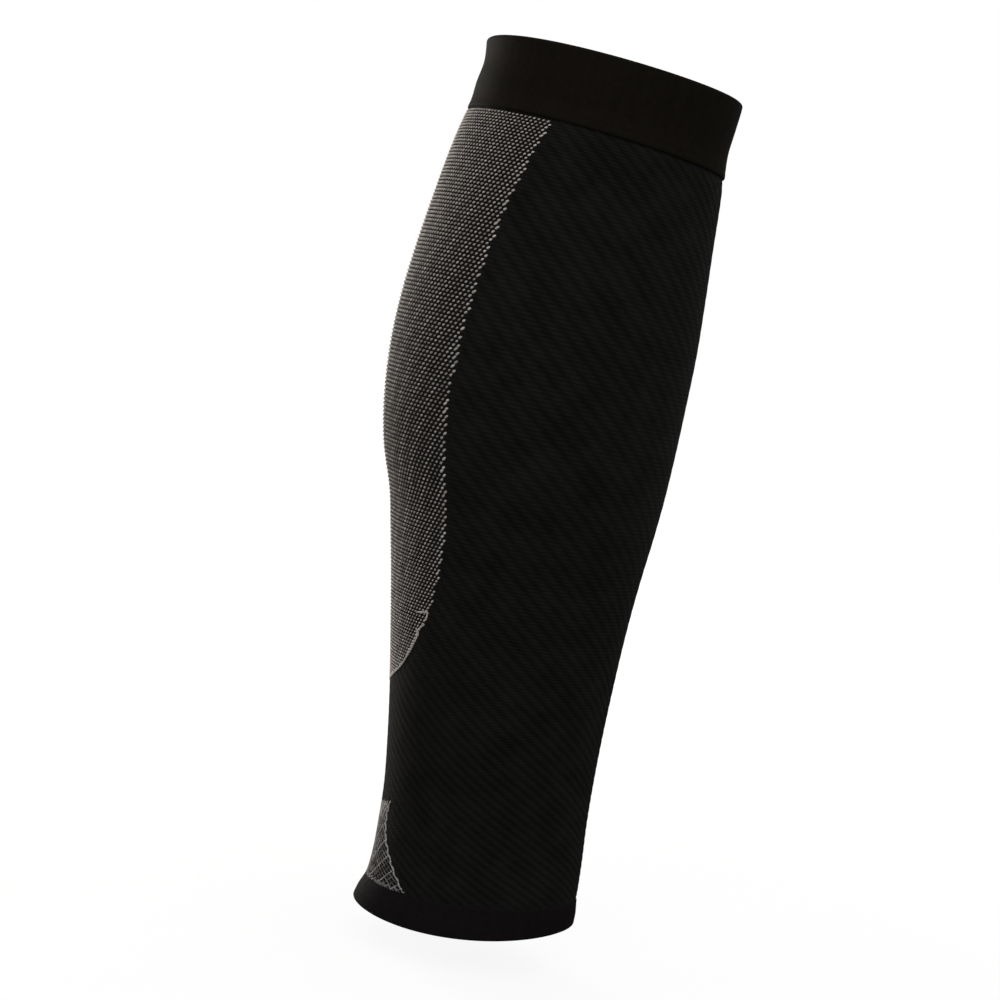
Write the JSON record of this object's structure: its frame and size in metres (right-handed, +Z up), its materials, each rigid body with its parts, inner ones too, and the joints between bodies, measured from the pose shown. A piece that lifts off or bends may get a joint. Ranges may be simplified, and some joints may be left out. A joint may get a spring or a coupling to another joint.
{
  "type": "calf compression sleeve",
  "caption": "Footless knitted compression sleeve for the calf, a tapered tube with a smooth double cuff at the knee end, contrast zones at the calf and heel, and a hem.",
  "frame": {"origin": "centre of the sleeve's fullest section, where the calf holds it, on the axis of the leg", "axes": "+Z up the leg to the knee end, +X towards the shin, -X towards the calf, Y from side to side"},
  "size_m": [0.1205, 0.1116, 0.3479],
  "materials": {
    "cuff_knit": "smooth fine-ribbed black double knit, matte with a faint sheen",
    "body_knit": "black compression knit with fine slanting ribs, matte",
    "calf_panel_knit": "staggered light grey stitches on black knit",
    "heel_panel_knit": "light grey threads crossing in a small lattice on black knit",
    "hem_knit": "smooth black double knit, matte"
  },
  "bodies": {
    "root": {"top_cuff": "cuff_knit", "leg_tube": "body_knit", "calf_panel": "calf_panel_knit", "heel_panel": "heel_panel_knit", "bottom_cuff": "hem_knit"}
  },
  "joints": []
}
